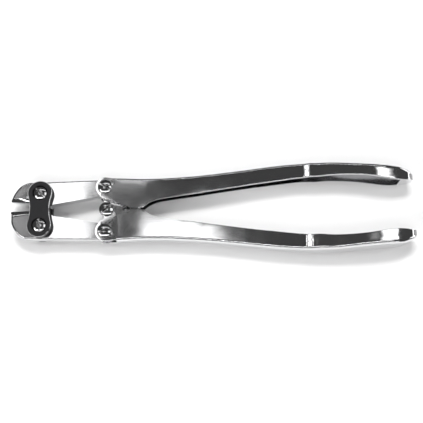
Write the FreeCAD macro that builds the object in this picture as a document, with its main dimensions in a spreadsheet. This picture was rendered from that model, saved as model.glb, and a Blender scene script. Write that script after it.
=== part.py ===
import FreeCAD, Part
import math
import os
import Sketcher

# Grozing pliers with compound action.  Millimetres.
# X runs from the jaw noses to the handle ends, Y across the tool, Z through its thickness.
# Two jaws hang on a pair of link plates, each jaw tail is pinned to a pressed handle,
# and the two handles are pinned together at the centre.
# Every body is drawn about the mid-thickness plane and then lifted onto the resting plane.

doc = FreeCAD.newDocument("GrozingPliers")

DIMENSIONS = {
    # stack through the thickness, measured from the mid-plane
    "jaw_thick": 5.0, "link_gap": 0.1, "link_thick": 3.4, "sheet_metal": 1.4,
    "cheek_inside": 2.6, "shank_half": 4.0,
    # pivots
    "link_pivot_x": -84.8, "link_pivot_y": 8.1, "tail_pivot_x": -53.2, "tail_pivot_y": 11.1,
    "centre_pivot_x": -52.4, "pin_radius": 2.4, "pin_bore": 2.45, "open_bore": 2.95,
    "screw_radius": 1.5, "screw_bore": 1.52,
    # screw heads and nuts
    "head_radius": 3.45, "head_rim": 0.6, "head_dome": 1.55, "slot_width": 1.0, "slot_depth": 0.85,
    "nut_radius": 3.3, "nut_flange": 0.95, "recess_radius": 3.65, "recess_depth": 1.25,
    # link plates
    "lobe_radius": 6.05, "waist_half": 4.85, "link_bevel": 0.5,
    # jaws
    "nose_x": -99.6, "jaw_top": 14.5, "tail_top": 15.5, "tail_radius": 4.55,
    "knuckle_radius": 8.0, "knuckle_half": 4.0, "bite_high": 4.0, "bite_low": 0.15,
    "bite_flare": 0.45, "bite_end_x": -90.0, "bite_bevel": 2.1, "bite_bevel_drop": 1.3,
    "jaw_round": 1.2, "bevel_run": 13.5,
    # handles
    "ear_radius": 4.9, "stop_gap": 0.15, "lip_round": 0.3,
    "stop_front_x": -40.6, "stop_back_x": -34.9,
    # centre lugs
    "lug_radius": 3.75, "lug_thick": 1.2, "lug_outer_floor": 1.9, "lug_inner_floor": 0.6,
    "mouth_reach": 3.5,
    "spacer_half": 0.5,
    # placing
    "shift_x": 0.64, "lift": 8.0,
}

# Cross-sections of a handle from the front of its web to its end:
# place along the tool, outer edge, inner edge, half depth, bend radius.
STATIONS = [
    (-47.4, 16.0, -0.6, 4.0, 1.7),
    (-38.0, 15.6, -0.4, 4.0, 1.7),
    (-28.0, 15.55, 2.8, 4.0, 1.7),
    (-18.0, 15.95, 5.4, 4.0, 1.7),
    (-9.0, 16.55, 7.15, 4.04, 1.7),
    (3.0, 17.7, 8.95, 4.12, 1.7),
    (13.0, 18.8, 10.4, 4.25, 1.7),
    (23.0, 20.0, 11.75, 4.45, 1.7),
    (33.0, 21.1, 12.95, 4.68, 1.7),
    (43.5, 21.75, 14.1, 5.0, 1.7),
    (45.2, 21.83, 14.25, 5.14, 1.7),
    (46.8, 21.9, 14.37, 5.58, 1.7),
    (48.5, 21.95, 14.47, 5.8, 1.7),
    (56.0, 21.95, 14.85, 6.3, 1.8),
    (64.0, 21.55, 15.0, 7.05, 1.9),
    (72.0, 20.95, 14.65, 7.7, 2.0),
    (79.0, 20.4, 13.85, 8.0, 2.0),
    (84.5, 19.95, 12.95, 7.7, 2.0),
    (88.5, 19.65, 12.45, 6.9, 1.9),
    (92.0, 19.3, 12.3, 5.9, 1.8),
    (96.2, 17.9, 12.35, 4.4, 1.7),
    (98.6, 16.2, 12.7, 2.5, 1.3),
]
# runs of stations that are skinned together; each run's last section starts the next
RUNS = [(0, 9), (9, 12), (12, 19), (19, 20), (20, 21)]

sheet = doc.addObject("Spreadsheet::Sheet", "Dimensions")
for number, station in enumerate(STATIONS):
    for word, value in zip(("place", "outer", "inner", "half", "bend"), station):
        DIMENSIONS["handle_%s_%02d" % (word, number)] = value
for row, (alias, value) in enumerate(DIMENSIONS.items(), start=1):
    sheet.set("A%d" % row, alias)
    sheet.set("B%d" % row, str(value))
    sheet.setAlias("B%d" % row, alias)
doc.recompute()

D = DIMENSIONS
Z_AXIS = FreeCAD.Vector(0, 0, 1)


def value_of(entry):
    """A number, a (number, expression) pair, or the value of an alias with an optional minus."""
    if isinstance(entry, tuple):
        return float(entry[0])
    if isinstance(entry, str):
        return -D[entry[1:]] if entry.startswith("-") else D[entry]
    return float(entry)


def expression_of(entry):
    """The sheet expression behind an entry, or None for a plain number."""
    if isinstance(entry, tuple):
        return entry[1]
    if not isinstance(entry, str):
        return None
    if entry.startswith("-"):
        return "-Dimensions." + entry[1:]
    return "Dimensions." + entry


def new_body(label, at=(0.0, 0.0), turn=0.0):
    body = doc.addObject("PartDesign::Body", label)
    body.Label = label
    place = FreeCAD.Vector(at[0] + D["shift_x"], at[1], D["lift"])
    body.Placement = FreeCAD.Placement(place, FreeCAD.Rotation(Z_AXIS, turn))
    return body


def new_sketch(body, name, role="XY_Plane", offset=0.0):
    sketch = body.newObject("Sketcher::SketchObject", name)
    plane = [item for item in body.Origin.OriginFeatures if item.Role == role][0]
    sketch.AttachmentSupport = [(plane, "")]
    sketch.MapMode = "FlatFace"
    if offset:
        sketch.AttachmentOffset = FreeCAD.Placement(FreeCAD.Vector(0, 0, offset), FreeCAD.Rotation())
    return sketch


def lock(sketch, geometry, point, corner):
    """Hold one vertex at its two coordinates, bound to the sheet where they are aliases."""
    for kind, entry in (("DistanceX", corner[0]), ("DistanceY", corner[1])):
        index = sketch.addConstraint(
            Sketcher.Constraint(kind, -1, 1, geometry, point, value_of(entry)))
        if expression_of(entry):
            sketch.setExpression("Constraints[%d]" % index, expression_of(entry))


def outline(sketch, start, steps):
    """A closed outline: lines, arcs through a middle point, and splines through points."""
    here = start
    first = None
    last = None
    for step in steps:
        kind, end = step[0], step[1]
        a = FreeCAD.Vector(value_of(here[0]), value_of(here[1]), 0)
        b = FreeCAD.Vector(value_of(end[0]), value_of(end[1]), 0)
        if kind == "line":
            index = sketch.addGeometry(Part.LineSegment(a, b), False)
            tail, head = 1, 2
            lock(sketch, index, 1, here)
        elif kind == "arc":
            middle = FreeCAD.Vector(step[2][0], step[2][1], 0)
            arc = Part.Arc(a, middle, b)
            index = sketch.addGeometry(arc, False)
            arc_start = sketch.Geometry[index].StartPoint
            forward = arc_start.distanceToPoint(a) < arc_start.distanceToPoint(b)
            tail, head = (1, 2) if forward else (2, 1)
            sketch.addConstraint(Sketcher.Constraint("Block", index))
        else:
            points = [a] + [FreeCAD.Vector(p[0], p[1], 0) for p in step[2]] + [b]
            curve = Part.BSplineCurve()
            curve.interpolate(points)
            index = sketch.addGeometry(curve, False)
            tail, head = 1, 2
            sketch.addConstraint(Sketcher.Constraint("Block", index))
        if first is None:
            first = (index, tail)
        last = (index, head)
        here = end
    return first, last


def circle(sketch, at, radius):
    middle = FreeCAD.Vector(value_of(at[0]), value_of(at[1]), 0)
    index = sketch.addGeometry(Part.Circle(middle, Z_AXIS, value_of(radius)), False)
    row = sketch.addConstraint(Sketcher.Constraint("Radius", index, value_of(radius)))
    if expression_of(radius):
        sketch.setExpression("Constraints[%d]" % row, expression_of(radius))
    if value_of(at[0]) or value_of(at[1]):
        lock(sketch, index, 3, at)
    else:
        sketch.addConstraint(Sketcher.Constraint("Coincident", index, 3, -1, 1))
    return index


def pad(body, sketch, name, length, midplane=True):
    feature = body.newObject("PartDesign::Pad", name)
    feature.Profile = sketch
    feature.Midplane = midplane
    feature.setExpression("Length", length)
    sketch.Visibility = False
    doc.recompute()
    return feature


def pocket(body, sketch, name, length=None, midplane=True, backwards=False):
    feature = body.newObject("PartDesign::Pocket", name)
    feature.Profile = sketch
    if length is None:
        feature.Type = 1
        feature.Midplane = True
    else:
        feature.Midplane = midplane
        feature.Reversed = backwards
        feature.setExpression("Length", length)
    sketch.Visibility = False
    doc.recompute()
    return feature


def dress(body, kind, name, size, expression, wanted):
    """Fillet or chamfer the edges of the present tip that the test picks out."""
    base = body.Tip
    names = ["Edge%d" % (i + 1) for i, edge in enumerate(base.Shape.Edges) if wanted(edge)]
    if not names:
        raise RuntimeError("%s: no edge for %s" % (body.Label, name))
    feature = body.newObject("PartDesign::" + kind, name)
    feature.Base = (base, names)
    feature.setExpression(size, expression)
    doc.recompute()
    return feature


def middle_of(edge):
    low, high = edge.ParameterRange
    return edge.valueAt(0.5 * (low + high))


# ---------------------------------------------------------------- jaws

def make_jaw(label, side, bite):
    """side is +1 for the upper jaw and -1 for the lower; bite is the height of its biting edge."""
    body = new_body(label)
    pivot_x, pivot_y = D["link_pivot_x"], side * D["link_pivot_y"]
    tail_x, tail_y = D["tail_pivot_x"], side * D["tail_pivot_y"]
    r, half = D["knuckle_radius"], D["knuckle_half"]
    arc_drop = math.sqrt(r * r - half * half)
    knuckle_y = pivot_y - side * arc_drop
    far = 6.07
    far_y = pivot_y - side * math.sqrt(r * r - far * far)
    bite_end = D["bite_end_x"] if side < 0 else pivot_x - half
    tip = bite + side * D["bite_flare"]
    tail_low = (tail_x + 1.7, side * 7.61)
    corner = D["nose_x"] + 0.55
    top = "jaw_top" if side > 0 else "-jaw_top"
    sketch = new_sketch(body, label + "_outline")
    outline(sketch, (corner, tip), [
        ("line", (bite_end, bite)),
        ("line", (bite_end, knuckle_y)),
    ] + ([] if side > 0 else [("line", (pivot_x - half, knuckle_y))]) + [
        ("arc", (pivot_x + far, far_y), (pivot_x + 0.6, pivot_y - side * math.sqrt(r * r - 0.36))),
        ("line", tail_low),
        ("arc", (tail_x - 0.5, side * (D["tail_top"] - 0.75)),
         (tail_x + D["tail_radius"] * 0.93, tail_y + side * 0.3)),
        ("line", (tail_x - 1.3, side * (D["tail_top"] - 0.1))),
        ("line", (-90.6, top)),
        ("spline", (D["nose_x"], tip + side * 0.75),
         [(-93.1, side * 13.9), (-95.6, side * 12.35), (-97.9, side * 9.4), (-99.25, side * 6.6)]
         + ([] if side > 0 else [(-99.53, side * 3.6)])),
        ("arc", (corner, tip), (D["nose_x"] + 0.16, tip + side * 0.2)),
    ])
    pad(body, sketch, label + "_blank", "Dimensions.jaw_thick")
    half_thick = 0.5 * D["jaw_thick"]

    # rounded rim round the nose and along the back
    def on_rim(edge):
        at = middle_of(edge)
        flat = abs(abs(at.z) - half_thick) < 0.01
        return flat and edge.Length > 3 and side * at.y > side * tip + 2.5 and (
            at.x < D["nose_x"] + 9 or side * at.y > D["jaw_top"] - 0.3)
    dress(body, "Fillet", label + "_rim", "Radius", "Dimensions.jaw_round", on_rim)

    # bevels along the bite, on both faces, ending under the link plates
    slope = D["bite_bevel_drop"] / D["bite_bevel"]
    bevel = new_sketch(body, label + "_bevel", "YZ_Plane", offset=D["nose_x"] - 2.0)
    deep = half_thick - slope * (D["bite_bevel"] + 1.5)
    for sign in (-1, 1):
        outline(bevel, (bite + side * D["bite_bevel"], sign * half_thick), [
            ("line", (bite + side * D["bite_bevel"], sign * (half_thick + 1.0))),
            ("line", (bite - side * 1.5, sign * (half_thick + 1.0))),
            ("line", (bite - side * 1.5, sign * deep)),
            ("line", (bite + side * D["bite_bevel"], sign * half_thick)),
        ])
    pocket(body, bevel, label + "_bevelled", "Dimensions.bevel_run", midplane=False, backwards=True)

    holes = new_sketch(body, label + "_bores")
    circle(holes, ("link_pivot_x", "link_pivot_y" if side > 0 else "-link_pivot_y"), "pin_bore")
    circle(holes, ("tail_pivot_x", "tail_pivot_y" if side > 0 else "-tail_pivot_y"), "pin_bore")
    pocket(body, holes, label + "_drilled")
    return body


# ---------------------------------------------------------------- link plates

def make_link(label, face):
    """face is +1 for the front plate and -1 for the rear one."""
    body = new_body(label, at=(D["link_pivot_x"], 0.0))
    y, r, w = D["link_pivot_y"], D["lobe_radius"], D["waist_half"]
    floor = face * (0.5 * D["jaw_thick"] + D["link_gap"])
    # concave sides that run tangent into both lobes
    hollow = (w * w + y * y - r * r) / (2.0 * (r - w))
    reach = r / (hollow + r)
    touch_x, touch_y = (w + hollow) * reach, y - y * reach
    sketch = new_sketch(body, label + "_outline", offset=floor)
    outline(sketch, (touch_x, touch_y), [
        ("arc", (-touch_x, touch_y), (0.0, y + r)),
        ("arc", (-touch_x, -touch_y), (-w, 0.0)),
        ("arc", (touch_x, -touch_y), (0.0, -y - r)),
        ("arc", (touch_x, touch_y), (w, 0.0)),
    ])
    plate = pad(body, sketch, label + "_plate", "Dimensions.link_thick", midplane=False)
    plate.Reversed = face < 0
    doc.recompute()

    outer = floor + face * D["link_thick"]

    def on_face(edge):
        return abs(middle_of(edge).z - outer) < 0.01
    dress(body, "Chamfer", label + "_bevel", "Size", "Dimensions.link_bevel", on_face)

    bores = new_sketch(body, label + "_bores")
    circle(bores, (0.0, "link_pivot_y"), "pin_bore")
    circle(bores, (0.0, "-link_pivot_y"), "pin_bore")
    pocket(body, bores, label + "_drilled")
    if face > 0:
        recess = new_sketch(body, label + "_recess", offset=outer)
        circle(recess, (0.0, "link_pivot_y"), "recess_radius")
        circle(recess, (0.0, "-link_pivot_y"), "recess_radius")
        pocket(body, recess, label + "_recessed", "Dimensions.recess_depth", midplane=False)
    return body


# ---------------------------------------------------------------- screws and nuts

def make_screw(label, at, seat, reach, turn):
    """A slotted dome head on a plain shank.  seat is the height of the underside of the head."""
    body = new_body(label, at=at, turn=turn)
    rim, dome, r = D["head_rim"], D["head_dome"], D["head_radius"]
    ball = (r * r + (dome - rim) ** 2) / (2.0 * (dome - rim))
    crown = seat + dome - ball
    sketch = new_sketch(body, label + "_profile", "XZ_Plane")
    outline(sketch, (0.0, seat - reach), [
        ("line", ("screw_radius", seat - reach)),
        ("line", ("screw_radius", seat)),
        ("line", ("head_radius", seat)),
        ("line", ("head_radius", seat + rim)),
        ("arc", (0.0, seat + dome), (0.5 * r, crown + math.sqrt(ball * ball - 0.25 * r * r))),
        ("line", (0.0, seat - reach)),
    ])
    turned = body.newObject("PartDesign::Revolution", label + "_turned")
    turned.Profile = sketch
    turned.ReferenceAxis = (sketch, ["V_Axis"])
    turned.Angle = 360
    doc.recompute()
    slot = new_sketch(body, label + "_slot", offset=seat + dome)
    w = 0.5 * D["slot_width"]
    outline(slot, (-6.0, -w), [
        ("line", (6.0, -w)), ("line", (6.0, w)), ("line", (-6.0, w)), ("line", (-6.0, -w)),
    ])
    pocket(body, slot, label + "_slotted", "Dimensions.slot_depth", midplane=False)
    return body


def make_nut(label, at, seat, barrel, flange):
    """A flanged sleeve nut: the sleeve is the pin that the parts turn on."""
    body = new_body(label, at=at)
    top = seat + barrel
    sketch = new_sketch(body, label + "_profile", "XZ_Plane")
    outline(sketch, ("screw_bore", seat - flange), [
        ("line", (D["nut_radius"] - 0.3, seat - flange)),
        ("line", ("nut_radius", seat - flange + 0.3)),
        ("line", ("nut_radius", seat)),
        ("line", ("pin_radius", seat)),
        ("line", ("pin_radius", top)),
        ("line", ("screw_bore", top)),
        ("line", ("screw_bore", seat - flange)),
    ])
    turned = body.newObject("PartDesign::Revolution", label + "_turned")
    turned.Profile = sketch
    turned.ReferenceAxis = (sketch, ["V_Axis"])
    turned.Angle = 360
    doc.recompute()
    slot = new_sketch(body, label + "_slot", offset=seat - flange)
    for sign in (-1, 1):
        outline(slot, (sign * 2.05, -0.4), [
            ("line", (sign * 3.9, -0.4)), ("line", (sign * 3.9, 0.4)),
            ("line", (sign * 2.05, 0.4)), ("line", (sign * 2.05, -0.4)),
        ])
    pocket(body, slot, label + "_slotted", "Dimensions.slot_depth * 0.5", midplane=False,
           backwards=True)
    return body


# ---------------------------------------------------------------- handles

FRONT_CURVE = [(-33.6, 1.45), (-31.2, 3.05), (-27.5, 4.45), (-23.0, 5.25), (-16.5, 6.2)]
WEB_FRONT = STATIONS[0][0]


def station(number, word, side=1, plus=""):
    """One cell of a cross-section as a (number, expression) pair, with an optional offset."""
    alias = "handle_%s_%02d" % (word, number)
    sign = "" if side > 0 else "-"
    offset = 0.0
    text = "Dimensions." + alias
    if plus:
        text = "(%s %s Dimensions.%s)" % (text, plus[0], plus[1:] % number if "%" in plus else plus[1:])
        name = plus[1:] % number if "%" in plus else plus[1:]
        offset = D[name] if plus[0] == "+" else -D[name]
    return (side * (D[alias] + offset), sign + text)


def outer_section(body, label, side, number):
    """A rounded rectangle: large bends on the outside, a small round on the sheet's lips."""
    sketch = new_sketch(body, "%s_skin_%02d" % (label, number), "YZ_Plane")
    sketch.setExpression("AttachmentOffset.Base.z", "Dimensions.handle_place_%02d" % number)
    outer = station(number, "outer", side)
    outer_in = station(number, "outer", side, "-handle_bend_%02d")
    inner = station(number, "inner", side)
    inner_in = station(number, "inner", side, "+lip_round")
    top, bottom = station(number, "half"), station(number, "half", -1)
    bend, lip = D["handle_bend_%02d" % number], D["lip_round"]
    top_bend = station(number, "half", 1, "-handle_bend_%02d")
    bottom_bend = station(number, "half", -1, "-handle_bend_%02d")
    top_lip, bottom_lip = station(number, "half", 1, "-lip_round"), station(number, "half", -1, "-lip_round")
    corners = [
        ((inner_in, bottom), (outer_in, bottom)), ((outer, bottom_bend), (outer, top_bend)),
        ((outer_in, top), (inner_in, top)), ((inner, top_lip), (inner, bottom_lip)),
    ]
    rounds = [bend, bend, lip, lip]
    lines = []
    for start, end in corners:
        a = FreeCAD.Vector(start[0][0], start[1][0], 0)
        b = FreeCAD.Vector(end[0][0], end[1][0], 0)
        index = sketch.addGeometry(Part.LineSegment(a, b), False)
        lock(sketch, index, 1, start)
        lock(sketch, index, 2, end)
        lines.append((index, a, b))
    for turn in range(4):
        index, _, a = lines[turn]
        following, b, _ = lines[(turn + 1) % 4]
        if turn % 2 == 0:
            centre = FreeCAD.Vector(a.x, b.y, 0)
        else:
            centre = FreeCAD.Vector(b.x, a.y, 0)
        size = rounds[turn]
        outward = (a + b) * 0.5 - centre
        outward.normalize()
        arc = sketch.addGeometry(Part.Arc(a, centre + outward * size, b), False)
        first = sketch.getPoint(arc, 1)
        ends = (1, 2) if first.distanceToPoint(a) < first.distanceToPoint(b) else (2, 1)
        sketch.addConstraint(Sketcher.Constraint("Tangent", arc, ends[0], index, 2))
        sketch.addConstraint(Sketcher.Constraint("Coincident", arc, ends[1], following, 1))
    sketch.Visibility = False
    return sketch


def channel_section(body, label, side, number):
    """The hollow of the channel: a rectangle one sheet inside the skin, open towards the middle."""
    sketch = new_sketch(body, "%s_hollow_%02d" % (label, number), "YZ_Plane")
    sketch.setExpression("AttachmentOffset.Base.z", "Dimensions.handle_place_%02d" % number)
    wall = station(number, "outer", side, "-sheet_metal")
    mouth = station(number, "inner", side, "-mouth_reach")
    top, bottom = station(number, "half", 1, "-sheet_metal"), station(number, "half", -1, "-sheet_metal")
    outline(sketch, (mouth, bottom), [
        ("line", (wall, bottom)), ("line", (wall, top)), ("line", (mouth, top)), ("line", (mouth, bottom)),
    ])
    sketch.Visibility = False
    return sketch


def skin(body, kind, name, sections):
    feature = body.newObject("PartDesign::" + kind, name)
    feature.Profile = sections[0]
    feature.Sections = sections[1:]
    feature.Ruled = len(sections) == 2
    doc.recompute()
    return feature


def make_handle(label, side, lug_floor):
    """side is +1 for the upper handle and -1 for the lower; lug_floor is the lug's inner height."""
    body = new_body(label)
    cx, cy = D["tail_pivot_x"], side * D["tail_pivot_y"]
    ear = D["ear_radius"]
    stop = side * D["stop_gap"]

    sections = [outer_section(body, label, side, number) for number in range(len(STATIONS))]
    for number, (low, high) in enumerate(RUNS):
        skin(body, "AdditiveLoft", "%s_run_%d" % (label, number), sections[low:high + 1])

    # inner outline of the cheeks near the stop face
    trim = new_sketch(body, label + "_front_trim")
    outline(trim, (-7.0, side * 7.42), [
        ("spline", ("stop_back_x", stop), [(x, side * y) for x, y in reversed(FRONT_CURVE)]),
        ("line", ("stop_front_x", stop)),
        ("line", (-41.9, side * 1.25)),
        ("line", (-48.5, side * 3.45)),
        ("line", (-48.5, side * -6.0)),
        ("line", (-7.0, side * -6.0)),
        ("line", (-7.0, side * 7.42)),
    ])
    pocket(body, trim, label + "_front_trimmed")

    hollows = [channel_section(body, label, side, number) for number in range(20)]
    for number, (low, high) in enumerate(RUNS[:3]):
        skin(body, "SubtractiveLoft", "%s_hollow_run_%d" % (label, number), hollows[low:high + 1])

    # flat cheeks in front of the web, ending in round ears about the jaw pivot
    for face, sign in (("front", 1), ("back", -1)):
        cheek = new_sketch(body, "%s_%s_cheek" % (label, face), offset=sign * D["cheek_inside"])
        outline(cheek, (WEB_FRONT + 0.6, side * 2.9167), [
            ("line", (-55.4, side * 5.75)),
            ("line", (cx - 0.7071 * ear, cy - side * 0.7071 * ear)),
            ("arc", (cx + 0.15, cy + side * ear), (cx - 0.9239 * ear, cy + side * 0.3827 * ear)),
            ("line", (WEB_FRONT - 1.6, side * 15.5)),
            ("line", (WEB_FRONT, side * 15.4)),
            ("line", (WEB_FRONT, side * 14.1)),
            ("line", (WEB_FRONT + 0.6, side * 14.1)),
            ("line", (WEB_FRONT + 0.6, side * 2.9167)),
        ])
        plate = pad(body, cheek, "%s_%s_cheek_plate" % (label, face), "Dimensions.sheet_metal",
                    midplane=False)
        plate.Reversed = sign < 0
        doc.recompute()

    # centre lugs: each cheek steps inward along its sloping edge and runs on to the centre
    ex, er = D["centre_pivot_x"], D["lug_radius"]
    near = math.radians(115.0)
    far = math.radians(-36.0)
    arc_near = (ex + er * math.cos(near), side * er * math.sin(near))
    arc_far = (ex + er * math.cos(far), side * er * math.sin(far))
    for face, sign in (("front", 1), ("back", -1)):
        step = new_sketch(body, "%s_%s_step" % (label, face), offset=sign * D[lug_floor])
        outline(step, (-54.0, side * 5.75), [
            ("line", (-42.3, side * 1.9)),
            ("line", (-42.6, side * 1.1)),
            ("line", (-54.3, side * 4.95)),
            ("line", (-54.0, side * 5.75)),
        ])
        wall = pad(body, step, "%s_%s_step_wall" % (label, face),
                   "Dimensions.cheek_inside - Dimensions.%s + 0.4" % lug_floor, midplane=False)
        wall.Reversed = sign < 0
        doc.recompute()
        lug = new_sketch(body, "%s_%s_lug" % (label, face), offset=sign * D[lug_floor])
        outline(lug, arc_near, [
            ("line", (-54.0, side * 5.75)),
            ("line", (-42.3, side * 1.9)),
            ("line", arc_far),
            ("arc", arc_near, (ex - er, 0.0)),
        ])
        plate = pad(body, lug, "%s_%s_lug_plate" % (label, face), "Dimensions.lug_thick", midplane=False)
        plate.Reversed = sign < 0
        doc.recompute()
    return body


def drill_handle(body, label, side, centre_bore):
    holes = new_sketch(body, label + "_tail_bore")
    circle(holes, ("tail_pivot_x", "tail_pivot_y" if side > 0 else "-tail_pivot_y"), "pin_bore")
    pocket(body, holes, label + "_tail_drilled")
    holes = new_sketch(body, label + "_centre_bore")
    circle(holes, ("centre_pivot_x", 0.0), centre_bore)
    pocket(body, holes, label + "_centre_drilled")


upper_jaw = make_jaw("upper_jaw", 1, D["bite_high"])
lower_jaw = make_jaw("lower_jaw", -1, D["bite_low"])
make_link("front_link_plate", 1)
make_link("rear_link_plate", -1)


# screws and nuts: the link pair, the two jaw tails and the centre
LINK_SEAT = 0.5 * D["jaw_thick"] + D["link_gap"] + D["link_thick"] - D["recess_depth"]
link_reach = 2 * LINK_SEAT - 0.6
make_screw("upper_link_screw", (D["link_pivot_x"], D["link_pivot_y"]), LINK_SEAT, link_reach, -45.0)
make_screw("lower_link_screw", (D["link_pivot_x"], -D["link_pivot_y"]), LINK_SEAT, link_reach, 98.0)
REAR = -(0.5 * D["jaw_thick"] + D["link_gap"] + D["link_thick"])
for name, sign in (("upper_link_nut", 1), ("lower_link_nut", -1)):
    make_nut(name, (D["link_pivot_x"], sign * D["link_pivot_y"]), REAR, LINK_SEAT - REAR - 0.05,
             D["lift"] + REAR)

CHEEK = D["shank_half"]
make_screw("upper_jaw_screw", (D["tail_pivot_x"], D["tail_pivot_y"]), CHEEK, 2 * CHEEK - 0.6, -28.0)
make_screw("lower_jaw_screw", (D["tail_pivot_x"], -D["tail_pivot_y"]), CHEEK, 2 * CHEEK - 0.6, 8.0)
make_nut("upper_jaw_nut", (D["tail_pivot_x"], D["tail_pivot_y"]), -CHEEK, 2 * CHEEK - 0.05,
         D["nut_flange"])
make_nut("lower_jaw_nut", (D["tail_pivot_x"], -D["tail_pivot_y"]), -CHEEK, 2 * CHEEK - 0.05,
         D["nut_flange"])

LUG_FACE = D["lug_outer_floor"] + D["lug_thick"]
make_screw("centre_screw", (D["centre_pivot_x"], 0.0), LUG_FACE, 2 * LUG_FACE - 0.6, 47.0)
make_nut("centre_nut", (D["centre_pivot_x"], 0.0), -LUG_FACE, 2 * LUG_FACE - 0.05,
         D["nut_flange"])

spacer = new_body("centre_spacer", at=(D["centre_pivot_x"], 0.0))
ring = new_sketch(spacer, "spacer_ring")
circle(ring, (0.0, 0.0), "lug_radius")
circle(ring, (0.0, 0.0), "pin_radius")
pad(spacer, ring, "spacer_body", "2 * Dimensions.spacer_half")

upper_handle = make_handle("upper_handle", 1, "lug_inner_floor")
drill_handle(upper_handle, "upper_handle", 1, "open_bore")
lower_handle = make_handle("lower_handle", -1, "lug_outer_floor")
drill_handle(lower_handle, "lower_handle", -1, "pin_bore")

doc.recompute()
bodies = [item for item in doc.Objects if item.TypeId == "PartDesign::Body"]
for item in doc.Objects:
    if any(word in ("Invalid", "Error") for word in item.State):
        raise RuntimeError("%s did not rebuild" % item.Label)

os.makedirs("parts", exist_ok=True)
for body in bodies:
    shape = body.Shape
    if shape.isNull() or not shape.isValid() or len(shape.Solids) != 1:
        raise RuntimeError("%s is not one valid solid" % body.Label)
    shape.exportStep(os.path.join("parts", body.Label + ".step"))
    print(body.Label, round(shape.Volume, 1), [round(v, 2) for v in (
        shape.BoundBox.XMin, shape.BoundBox.XMax, shape.BoundBox.YMin, shape.BoundBox.YMax,
        shape.BoundBox.ZMin, shape.BoundBox.ZMax)])
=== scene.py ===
import math

import bpy
from mathutils import Matrix, Vector


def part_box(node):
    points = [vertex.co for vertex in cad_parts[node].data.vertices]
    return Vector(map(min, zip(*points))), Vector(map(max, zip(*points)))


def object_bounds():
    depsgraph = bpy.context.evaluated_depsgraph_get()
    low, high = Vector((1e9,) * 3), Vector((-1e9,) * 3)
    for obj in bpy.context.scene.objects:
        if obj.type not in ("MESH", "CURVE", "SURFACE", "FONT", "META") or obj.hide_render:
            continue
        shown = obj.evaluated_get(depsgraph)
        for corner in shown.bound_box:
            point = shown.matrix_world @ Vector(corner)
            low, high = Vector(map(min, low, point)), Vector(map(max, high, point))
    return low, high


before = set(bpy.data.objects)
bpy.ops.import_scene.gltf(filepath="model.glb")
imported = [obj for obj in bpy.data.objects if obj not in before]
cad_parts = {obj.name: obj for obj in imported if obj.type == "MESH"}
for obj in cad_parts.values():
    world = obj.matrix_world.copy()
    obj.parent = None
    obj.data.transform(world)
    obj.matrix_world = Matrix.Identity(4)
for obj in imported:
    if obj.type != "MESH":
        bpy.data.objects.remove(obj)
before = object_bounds()

# Sizes and places are in metres, in the frame of the CAD model: x runs from the jaws to the grips,
# y towards the upper handle, and z up from the floor.
MM = 0.001


def middle_of(corners):
    """The middle of a box that is given by its lowest and highest corners."""
    low, high = corners
    return 0.5 * (Vector(low) + Vector(high))


# ------------------------------------------------------------ helpers for node trees

def feed(tree, source, socket):
    """Gives a socket its value: another node's output is linked to it, and anything else is set."""
    if isinstance(source, bpy.types.NodeSocket):
        tree.links.new(source, socket)
    else:
        socket.default_value = source


def feed_by_name(tree, node, inputs):
    """Feeds a node's sockets. Each key is a socket's name, with _ for a space."""
    for name, source in inputs.items():
        feed(tree, source, node.inputs[name.replace("_", " ")])


def add_node(tree, kind, settings=None, **inputs):
    """A new node with these settings, and with its sockets fed by name."""
    node = tree.nodes.new(kind)
    for name, value in (settings or {}).items():
        setattr(node, name, value)
    feed_by_name(tree, node, inputs)
    return node


def calculate(tree, operation, *operands):
    """The result of a maths node."""
    node = add_node(tree, "ShaderNodeMath", {"operation": operation})
    for operand, socket in zip(operands, node.inputs):
        feed(tree, operand, socket)
    return node.outputs["Value"]


def remap(tree, source, from_range, to_range=(0.0, 1.0), interpolation="LINEAR"):
    """Stretches a value from one range to another, held at both ends."""
    from_low, from_high = from_range
    to_low, to_high = to_range
    node = add_node(tree, "ShaderNodeMapRange", {"interpolation_type": interpolation}, Value=source,
                    From_Min=from_low, From_Max=from_high, To_Min=to_low, To_Max=to_high)
    return node.outputs["Result"]


# which sockets of a mix node are its first input, its second input and its output
MIX_SOCKETS = {"FLOAT": (2, 3, 0), "RGBA": (6, 7, 2)}


def blend(tree, data_type, factor, first, second):
    """Goes from the first value to the second as the factor goes from 0 to 1."""
    node = add_node(tree, "ShaderNodeMix", {"data_type": data_type}, Factor=factor)
    first_socket, second_socket, result = MIX_SOCKETS[data_type]
    feed(tree, first, node.inputs[first_socket])
    feed(tree, second, node.inputs[second_socket])
    return node.outputs[result]


def noise(tree, place, scale, detail, roughness):
    """A cloudy value around 0.5, with this many clouds to a metre."""
    node = add_node(tree, "ShaderNodeTexNoise",
                    Vector=place, Scale=scale, Detail=detail, Roughness=roughness)
    return node.outputs["Fac"]


def raise_by(tree, height, depth, under=None):
    """The normal of a surface that rises by this depth as the height goes from 0 to 1.

    It may lie over the normal of another bump.
    """
    bump = add_node(tree, "ShaderNodeBump", Height=height, Distance=depth)
    if under:
        feed(tree, under, bump.inputs["Normal"])
    return bump.outputs["Normal"]


# ------------------------------------------------------------ materials

def grey(level, blue=0.0):
    """An opaque grey, a little bluer where asked."""
    return (level, level, level + blue, 1.0)


# how the values of noise and shelter are read
NOISE_RANGE = (0.30, 0.70)           # most of a noise value
RUBBED_RANGE = (0.36, 0.46)          # from where the black stays to where it is rubbed off
SHELTER_RANGE = (0.62, 0.78)         # from a crevice in full painted shade to the open

# the look of the bright metals
WAVES_PER_METRE = 55.0
STREAKS = (0.12, 1.0, 1.0)           # scratches are long along the tool,
STREAK_TURN = (0.0, 0.0, 0.15)       # and a little askew, in radians
# painted shade: the near-black that the sheltered crevices of the screws are darkened towards
PAINTED_SHADE = grey(0.03)

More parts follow.
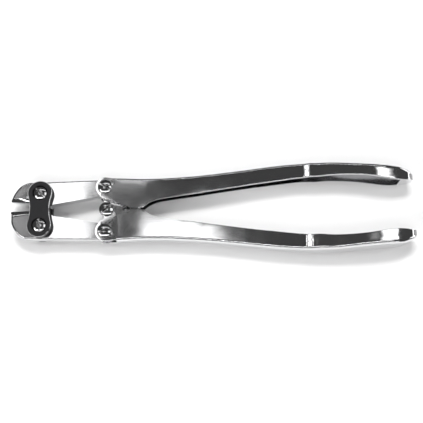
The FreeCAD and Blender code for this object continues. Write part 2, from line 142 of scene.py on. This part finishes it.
# the look of the black plates
BEVEL_UPRIGHT = 0.70                 # how far up a bevel faces, where a level face has 1.0
BEVEL_SPREAD = 0.20
BLACK = grey(0.018, blue=0.001)
BLACK_ROUGH = (0.32, 0.46)
BARE_STEEL = grey(0.60, blue=0.01)
BARE_ROUGH = 0.14


def new_material(name, **inputs):
    """A material with its node tree and its surface shader, whose sockets are fed by name."""
    material = bpy.data.materials.new(name)
    material.use_nodes = True
    tree = material.node_tree
    shader = tree.nodes["Principled BSDF"]
    feed_by_name(tree, shader, inputs)
    return material, tree, shader


def metal(name, colour, rough, patch_scale, scratch_scale, scratch_depth, wave_depth, painted_shade_reach=0.0):
    """Bright metal: hand-polished waves, soft patches of wear and fine scratches along the tool.

    Where a reach is given, painted shade darkens the crevices that another surface shelters within
    that reach.
    """
    material, tree, shader = new_material(name, Base_Color=colour, Metallic=1.0)
    place = tree.nodes.new("ShaderNodeTexCoord").outputs["Object"]

    patches = noise(tree, place, patch_scale, detail=4.0, roughness=0.6)
    feed(tree, remap(tree, patches, NOISE_RANGE, rough), shader.inputs["Roughness"])

    waves = noise(tree, place, WAVES_PER_METRE, detail=1.0, roughness=0.4)
    streaked = add_node(tree, "ShaderNodeMapping", Vector=place, Scale=STREAKS, Rotation=STREAK_TURN)
    scratches = noise(tree, streaked.outputs["Vector"], scratch_scale, detail=6.0, roughness=0.7)
    waved = raise_by(tree, waves, wave_depth)
    feed(tree, raise_by(tree, scratches, scratch_depth, waved), shader.inputs["Normal"])

    if painted_shade_reach:
        # Painted shade: crevices that ambient occlusion finds sheltered are darkened in the base
        # colour.
        shelter = add_node(tree, "ShaderNodeAmbientOcclusion", {"samples": 8}, Distance=painted_shade_reach)
        unshaded = remap(tree, shelter.outputs["AO"], SHELTER_RANGE)
        feed(tree, blend(tree, "RGBA", unshaded, PAINTED_SHADE, colour), shader.inputs["Base Color"])
    return material


def worn_black(name):
    """Satin black finish, rubbed through to bare steel in patches along the bevelled edges."""
    material, tree, shader = new_material(name, Specular_IOR_Level=0.30)
    place = tree.nodes.new("ShaderNodeTexCoord")
    grain = noise(tree, place.outputs["Object"], scale=420.0, detail=5.0, roughness=0.65)

    facing = add_node(tree, "ShaderNodeSeparateXYZ", Vector=place.outputs["Normal"])
    upright = calculate(tree, "ABSOLUTE", facing.outputs["Z"])
    on_bevel = calculate(tree, "COMPARE", upright, BEVEL_UPRIGHT, BEVEL_SPREAD)
    bare = calculate(tree, "MULTIPLY", on_bevel, remap(tree, grain, RUBBED_RANGE))

    satin = remap(tree, grain, NOISE_RANGE, BLACK_ROUGH)
    feed_by_name(tree, shader, {
        "Metallic": bare,
        "Base_Color": blend(tree, "RGBA", bare, BLACK, BARE_STEEL),
        "Roughness": blend(tree, "FLOAT", bare, satin, BARE_ROUGH),
        "Normal": raise_by(tree, grain, 0.008 * MM),
    })
    return material


chrome = metal(
    "handle_chrome", grey(0.80, blue=0.01), rough=(0.06, 0.11), patch_scale=60.0,
    scratch_scale=900.0, scratch_depth=0.003 * MM, wave_depth=0.08 * MM)
jaw_steel = metal(
    "jaw_steel", grey(0.78, blue=0.01), rough=(0.06, 0.12), patch_scale=90.0,
    scratch_scale=1100.0, scratch_depth=0.004 * MM, wave_depth=0.10 * MM)
# the screw steel paints shade into its slots and around its heads
screw_steel = metal(
    "screw_steel", grey(0.62, blue=0.01), rough=(0.10, 0.20), patch_scale=160.0,
    scratch_scale=1500.0, scratch_depth=0.006 * MM, wave_depth=0.05 * MM, painted_shade_reach=0.9 * MM)
black = worn_black("black_link")

# the material of each piece; the screws, nuts and spacer aren't listed, and are of screw steel
FINISH = {
    "front_link_plate": black, "rear_link_plate": black,
    "upper_jaw": jaw_steel, "lower_jaw": jaw_steel,
    "upper_handle": chrome, "lower_handle": chrome,
}

# ------------------------------------------------------------ broken edges and smooth shading

def new_modifier_group(name):
    """A geometry group, the socket where the mesh comes in and the socket where it goes out."""
    group = bpy.data.node_groups.new(name, "GeometryNodeTree")
    for direction in ("INPUT", "OUTPUT"):
        group.interface.new_socket("Geometry", in_out=direction, socket_type="NodeSocketGeometry")
    came = group.nodes.new("NodeGroupInput").outputs["Geometry"]
    goes = group.nodes.new("NodeGroupOutput").inputs["Geometry"]
    return group, came, goes


def compare(group, value, operation, limit):
    """Whether a value is beyond a limit."""
    node = add_node(group, "FunctionNodeCompare", {"data_type": "FLOAT", "operation": operation})
    feed(group, value, node.inputs[0])
    feed(group, limit, node.inputs[1])
    return node.outputs["Result"]


def sharper_than(group, limit):
    """Whether an edge turns by more than this angle."""
    angle = group.nodes.new("GeometryNodeInputMeshEdgeAngle")
    return compare(group, angle.outputs["Unsigned Angle"], "GREATER_THAN", limit)


def smoothing_by_angle(limit):
    """A modifier group that shades a mesh smoothly, except across edges sharper than the limit."""
    group, came, goes = new_modifier_group("smooth_by_angle")
    shade = "GeometryNodeSetShadeSmooth"
    faces = add_node(group, shade, {"domain": "FACE"}, Geometry=came, Shade_Smooth=True)
    edges = add_node(group, shade, {"domain": "EDGE"}, Geometry=faces.outputs["Geometry"],
                     Selection=sharper_than(group, limit), Shade_Smooth=False)
    feed(group, edges.outputs["Geometry"], goes)
    return group


def edges_to_break(limit, back_end):
    """A modifier group that marks for the bevel the sharp edges in front of this x."""
    group, came, goes = new_modifier_group("edges_to_break")
    position = group.nodes.new("GeometryNodeInputPosition").outputs["Position"]
    along = add_node(group, "ShaderNodeSeparateXYZ", Vector=position).outputs["X"]
    both = add_node(group, "FunctionNodeBooleanMath", {"operation": "AND"})
    feed(group, sharper_than(group, limit), both.inputs[0])
    feed(group, compare(group, along, "LESS_THAN", back_end), both.inputs[1])
    mark = add_node(group, "GeometryNodeStoreNamedAttribute", {"data_type": "FLOAT", "domain": "EDGE"},
                    Geometry=came, Name="bevel_weight_edge", Value=both.outputs["Boolean"])
    feed(group, mark.outputs["Geometry"], goes)
    return group


SMOOTH_BELOW = math.radians(34.0)
SHARP_ABOVE = math.radians(40.0)
JOINED_WITHIN = 0.012 * MM
BROKEN_EDGE = 0.22 * MM
FINE_EDGE = 0.2 * BROKEN_EDGE
CHEEK_REACH = 4.66 * MM              # of a handle's flat cheeks, behind the jaw's pivot

# A handle's edges are broken on its cheeks only: those of its long run are rounded in the CAD already.
cheeks_end = middle_of(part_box("upper_jaw_screw")).x + CHEEK_REACH
cheek_edges = edges_to_break(SHARP_ABOVE, cheeks_end)
smoothing = smoothing_by_angle(SMOOTH_BELOW)


def finish_surface(name, piece):
    """Gives a CAD piece its material, softly broken edges and neat shading."""
    is_handle = name.endswith("handle")
    is_small = name.endswith(("screw", "nut"))
    piece.data.materials.clear()
    piece.data.materials.append(FINISH.get(name, screw_steel))

    piece.modifiers.new("joined_faces", "WELD").merge_threshold = JOINED_WITHIN
    if is_handle:
        piece.modifiers.new("edges_to_break", "NODES").node_group = cheek_edges
    soften = piece.modifiers.new("broken_edges", "BEVEL")
    soften.width = FINE_EDGE if is_small else BROKEN_EDGE
    soften.segments = 2
    soften.limit_method = "WEIGHT" if is_handle else "ANGLE"
    soften.angle_limit = SHARP_ABOVE
    soften.use_clamp_overlap = not is_handle
    piece.modifiers.new("smooth_by_angle", "NODES").node_group = smoothing
    level = piece.modifiers.new("flat_faces_stay_flat", "WEIGHTED_NORMAL")
    level.weight = 80
    level.keep_sharp = True


for name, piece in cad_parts.items():
    finish_surface(name, piece)

# ------------------------------------------------------------ floor

FLOOR_SIDE = 1.3
FLOOR_WHITE = 0.93

bpy.ops.mesh.primitive_plane_add(size=FLOOR_SIDE, location=(0, 0, 0))
floor = bpy.context.object
floor.name = "floor"
floor_white, _, _ = new_material("floor_white", Base_Color=grey(FLOOR_WHITE), Roughness=0.9)
floor.data.materials.append(floor_white)

# ------------------------------------------------------------ lights

def fade_border(data, edge):
    """Soft edges, as the cloth of a softbox has: the light fades in over this part of each side."""
    data.use_nodes = True
    tree = data.node_tree
    across = add_node(tree, "ShaderNodeSeparateXYZ",
                      Vector=tree.nodes.new("ShaderNodeNewGeometry").outputs["Parametric"])
    fades = []
    for axis in ("X", "Y"):
        from_edge = calculate(tree, "PINGPONG", across.outputs[axis], 0.5)
        fades.append(remap(tree, from_edge, (0.0, edge), interpolation="SMOOTHSTEP"))
    feed(tree, calculate(tree, "MULTIPLY", *fades), tree.nodes["Emission"].inputs["Strength"])


def softbox(name, place, size, radiance, look=(0, 0, 0), edge=0.0, mirrored=False):
    """A rectangular light that faces a point. It either lights surfaces or is mirrored in them."""
    data = bpy.data.lights.new(name, "AREA")
    data.shape = "RECTANGLE"
    data.size, data.size_y = size
    data.energy = radiance * math.pi * size[0] * size[1]
    if edge:
        fade_border(data, edge)
    lamp = bpy.data.objects.new(name, data)
    bpy.context.collection.objects.link(lamp)
    lamp.location = place
    lamp.rotation_euler = (Vector(look) - Vector(place)).to_track_quat("-Z", "Y").to_euler()
    lamp.visible_glossy = mirrored
    lamp.visible_diffuse = not mirrored


CARD_HEIGHT = 0.55


def card(name, x_range, y_range, radiance, edge):
    """A soft-edged light card that hangs level over the tool, to be mirrored in its polished faces."""
    low, high = (Vector((x, y, CARD_HEIGHT)) for x, y in zip(x_range, y_range))
    place = middle_of((low, high))
    below = place - Vector((0, 0, 1))
    softbox(name, place, (high - low).xy, radiance, below, edge, mirrored=True)


# Lamps that light the floor and the black plates, but aren't mirrored in the polished faces.
by_the_jaws = (middle_of(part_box("front_link_plate")).x, -0.03, 0.0)
softbox("key", (0.0, 0.55, 1.12), (0.60, 0.30), 20.5)
softbox("front", (0.0, -0.60, 1.10), (0.60, 0.30), 4.0)
softbox("left", (-0.90, 0.10, 1.00), (0.35, 0.50), 6.5)
softbox("right", (0.95, 0.10, 1.00), (0.35, 0.50), 5.0)
softbox("jaw_fill", (-0.30, -0.45, 0.40), (0.20, 0.20), 15.0, look=by_the_jaws)

# Lights that are mirrored as bright lines along the edges and as crescents on the screws.
softbox("front_high", (0.0, -0.55, 0.95), (1.60, 0.08), 6.0, mirrored=True)
softbox("front_low", (0.0, -0.95, 0.26), (1.60, 0.10), 3.0, mirrored=True)
softbox("back_high", (0.0, 0.80, 1.00), (1.40, 0.06), 3.5, mirrored=True)
softbox("left_low", (-0.60, -0.30, 0.55), (0.40, 0.14), 4.0, mirrored=True)
softbox("right_low", (1.00, 0.25, 0.28), (0.80, 0.26), 2.4, look=(0, 0, 0.02), mirrored=True)

# Cards that are mirrored in the jaws, and in the cheeks, shanks and grips of the handles.
card("nose_card", (-0.275, -0.195), (0.050, 0.220), radiance=0.32, edge=0.45)
card("jaw_card", (-0.215, -0.141), (-0.040, 0.300), radiance=1.8, edge=0.06)
card("cheek_card", (-0.128, -0.070), (0.150, 0.320), radiance=0.62, edge=0.25)
card("shank_card", (-0.096, 0.008), (0.000, 0.145), radiance=1.8, edge=0.25)
card("grip_haze", (0.110, 0.205), (0.070, 0.130), radiance=0.30, edge=0.50)
card("grip_card", (0.200, 0.600), (-0.080, 0.225), radiance=1.8, edge=0.12)

# The surround lights everything dimly. Only the camera sees it as a pale backdrop.
SURROUND = 0.055
BACKDROP = 0.85

world = bpy.data.worlds.new("studio")
bpy.context.scene.world = world
world.use_nodes = True
world_tree = world.node_tree
camera_sees = world_tree.nodes.new("ShaderNodeLightPath").outputs["Is Camera Ray"]
strength = remap(world_tree, camera_sees, (0.0, 1.0), (SURROUND, BACKDROP))
feed_by_name(world_tree, world_tree.nodes["Background"], {"Color": grey(1.0), "Strength": strength})
bpy.context.scene.view_settings.view_transform = "Standard"

# ------------------------------------------------------------ camera

TILT = math.radians(14.0)            # from looking straight down
ROLL = math.radians(0.85)
AWAY = 0.400
LENS = 69.07                         # a camera's lens and sensor are in millimetres
SENSOR = 36.0
OFF_CENTRE = Vector((-0.575, -1.22, 0.0)) * MM

camera_data = bpy.data.cameras.new("camera")
camera_data.sensor_width = SENSOR
camera_data.lens = LENS
camera_data.clip_start = 0.01
camera_data.clip_end = 20.0
camera = bpy.data.objects.new("camera", camera_data)
bpy.context.collection.objects.link(camera)
turn = Matrix.Rotation(TILT, 4, "X") @ Matrix.Rotation(-ROLL, 4, "Z")
aim = middle_of(before) + OFF_CENTRE
camera.matrix_world = Matrix.Translation(aim) @ turn @ Matrix.Translation((0, 0, AWAY))
bpy.context.scene.camera = camera
